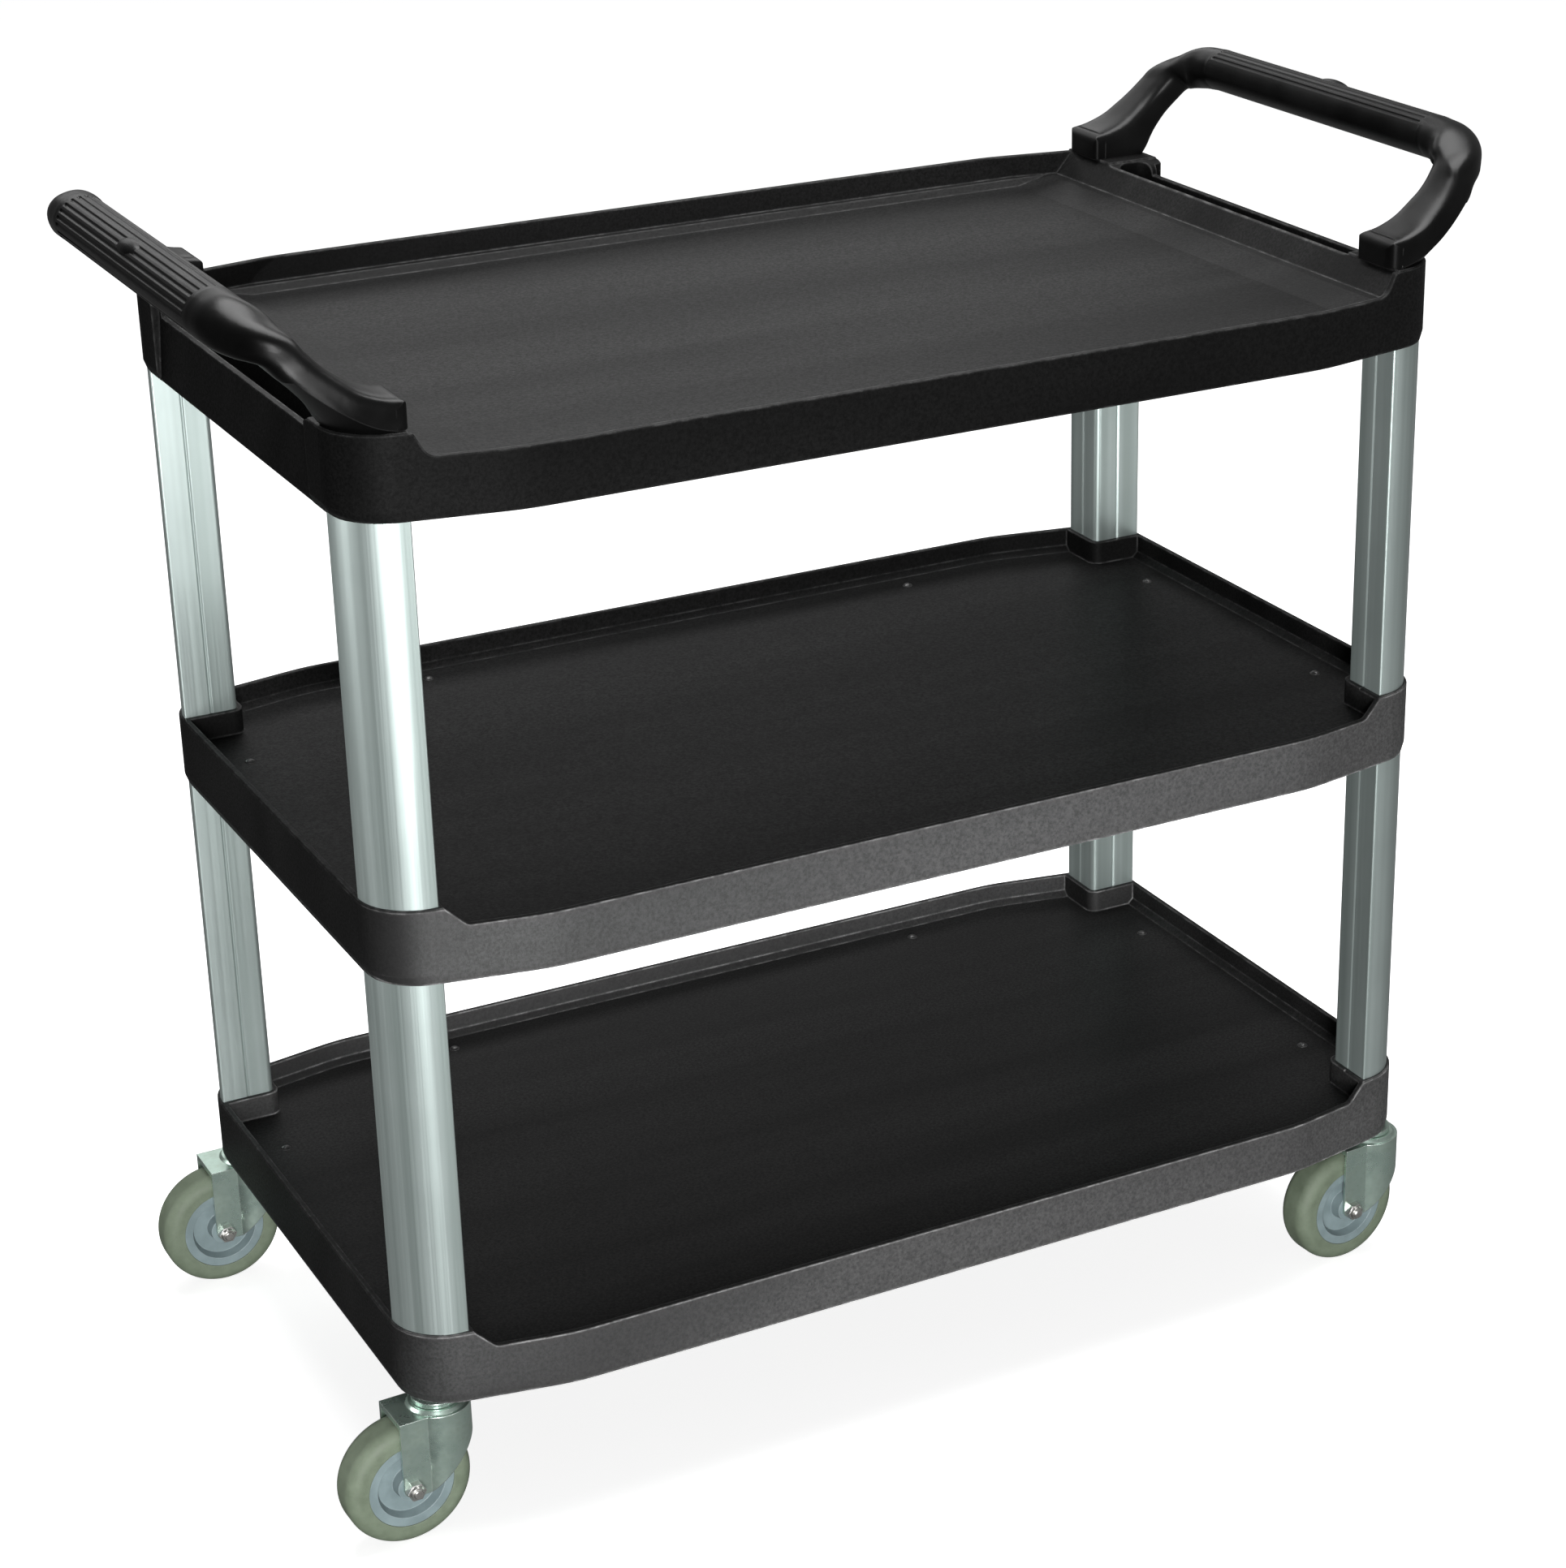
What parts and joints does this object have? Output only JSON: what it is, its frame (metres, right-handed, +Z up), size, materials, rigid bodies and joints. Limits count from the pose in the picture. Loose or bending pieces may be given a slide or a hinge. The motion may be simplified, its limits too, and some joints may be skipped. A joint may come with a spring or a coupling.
{
  "type": "rolling utility cart",
  "caption": "Rolling utility cart with moulded plastic trays on metal posts, a curved push handle at each end and swivel casters.",
  "frame": {"origin": "on the floor, under the middle of the cart", "axes": "+X along the cart from one push handle to the other, -Y towards the open front with the low lips, +Z up"},
  "size_m": [1.0282, 0.514, 0.9495],
  "materials": {
    "shelf_plastic": "fine grained matte moulding",
    "handle_plastic": "satin moulding with a fluted grip",
    "post_aluminium": "satin anodised extrusion",
    "zinc_steel": "bright zinc plate on pressed sheet",
    "screw_steel": "zinc plated",
    "tread_rubber": "matte soft rubber",
    "hub_plastic": "fine grained moulding",
    "plug_plastic": "satin moulding"
  },
  "bodies": {
    "cart_body": {"top_shelf": "shelf_plastic", "middle_shelf": "shelf_plastic", "bottom_shelf": "shelf_plastic", "lower_post_fl": "post_aluminium", "lower_post_fr": "post_aluminium", "lower_post_bl": "post_aluminium", "lower_post_br": "post_aluminium", "upper_post_fl": "post_aluminium", "upper_post_fr": "post_aluminium", "upper_post_bl": "post_aluminium", "upper_post_br": "post_aluminium", "right_handle": "handle_plastic", "left_handle": "handle_plastic", "right_handle_screws": "screw_steel", "left_handle_screws": "screw_steel", "middle_shelf_plugs": "plug_plastic", "bottom_shelf_plugs": "plug_plastic", "caster_fl_bearing_cup": "zinc_steel", "caster_fl_stem": "screw_steel", "caster_fr_bearing_cup": "zinc_steel", "caster_fr_stem": "screw_steel", "caster_bl_bearing_cup": "zinc_steel", "caster_bl_stem": "screw_steel", "caster_br_bearing_cup": "zinc_steel", "caster_br_stem": "screw_steel", "caster_stem_nuts": "screw_steel"},
    "caster_fl_swivel": {"caster_fl_fork": "zinc_steel", "caster_fl_bearing_balls": "screw_steel", "caster_fl_axle_bolt": "screw_steel", "caster_fl_axle_nut": "screw_steel"},
    "caster_fl_wheel": {"caster_fl_wheel_hub": "hub_plastic", "caster_fl_tread": "tread_rubber", "caster_fl_hub_bush": "screw_steel"},
    "caster_fr_swivel": {"caster_fr_fork": "zinc_steel", "caster_fr_bearing_balls": "screw_steel", "caster_fr_axle_bolt": "screw_steel", "caster_fr_axle_nut": "screw_steel"},
    "caster_fr_wheel": {"caster_fr_wheel_hub": "hub_plastic", "caster_fr_tread": "tread_rubber", "caster_fr_hub_bush": "screw_steel"},
    "caster_bl_swivel": {"caster_bl_fork": "zinc_steel", "caster_bl_bearing_balls": "screw_steel", "caster_bl_axle_bolt": "screw_steel", "caster_bl_axle_nut": "screw_steel"},
    "caster_bl_wheel": {"caster_bl_wheel_hub": "hub_plastic", "caster_bl_tread": "tread_rubber", "caster_bl_hub_bush": "screw_steel"},
    "caster_br_swivel": {"caster_br_fork": "zinc_steel", "caster_br_bearing_balls": "screw_steel", "caster_br_axle_bolt": "screw_steel", "caster_br_axle_nut": "screw_steel"},
    "caster_br_wheel": {"caster_br_wheel_hub": "hub_plastic", "caster_br_tread": "tread_rubber", "caster_br_hub_bush": "screw_steel"}
  },
  "joints": [
    {"name": "caster_fl_swivel_turn", "type": "hinge", "parent": "cart_body", "child": "caster_fl_swivel", "pos_m": [-0.42, -0.2168, 0.107], "axis": [0, 0, 1], "continuous": true},
    {"name": "caster_fl_wheel_spin", "type": "hinge", "parent": "caster_fl_swivel", "child": "caster_fl_wheel", "pos_m": [-0.44998, -0.21785, 0.05], "axis": [-0.0349, 0.9994, 0], "continuous": true},
    {"name": "caster_fr_swivel_turn", "type": "hinge", "parent": "cart_body", "child": "caster_fr_swivel", "pos_m": [0.42, -0.2168, 0.107], "axis": [0, 0, 1], "continuous": true},
    {"name": "caster_fr_wheel_spin", "type": "hinge", "parent": "caster_fr_swivel", "child": "caster_fr_wheel", "pos_m": [0.39007, -0.21889, 0.05], "axis": [-0.0698, 0.9976, 0], "continuous": true},
    {"name": "caster_bl_swivel_turn", "type": "hinge", "parent": "cart_body", "child": "caster_bl_swivel", "pos_m": [-0.42, 0.2168, 0.107], "axis": [0, 0, 1], "continuous": true},
    {"name": "caster_bl_wheel_spin", "type": "hinge", "parent": "caster_bl_swivel", "child": "caster_bl_wheel", "pos_m": [-0.45, 0.2168, 0.05], "axis": [0, 1, 0], "continuous": true},
    {"name": "caster_br_swivel_turn", "type": "hinge", "parent": "cart_body", "child": "caster_br_swivel", "pos_m": [0.42, 0.2168, 0.107], "axis": [0, 0, 1], "continuous": true},
    {"name": "caster_br_wheel_spin", "type": "hinge", "parent": "caster_br_swivel", "child": "caster_br_wheel", "pos_m": [0.39, 0.2168, 0.05], "axis": [0, 1, 0], "continuous": true}
  ]
}
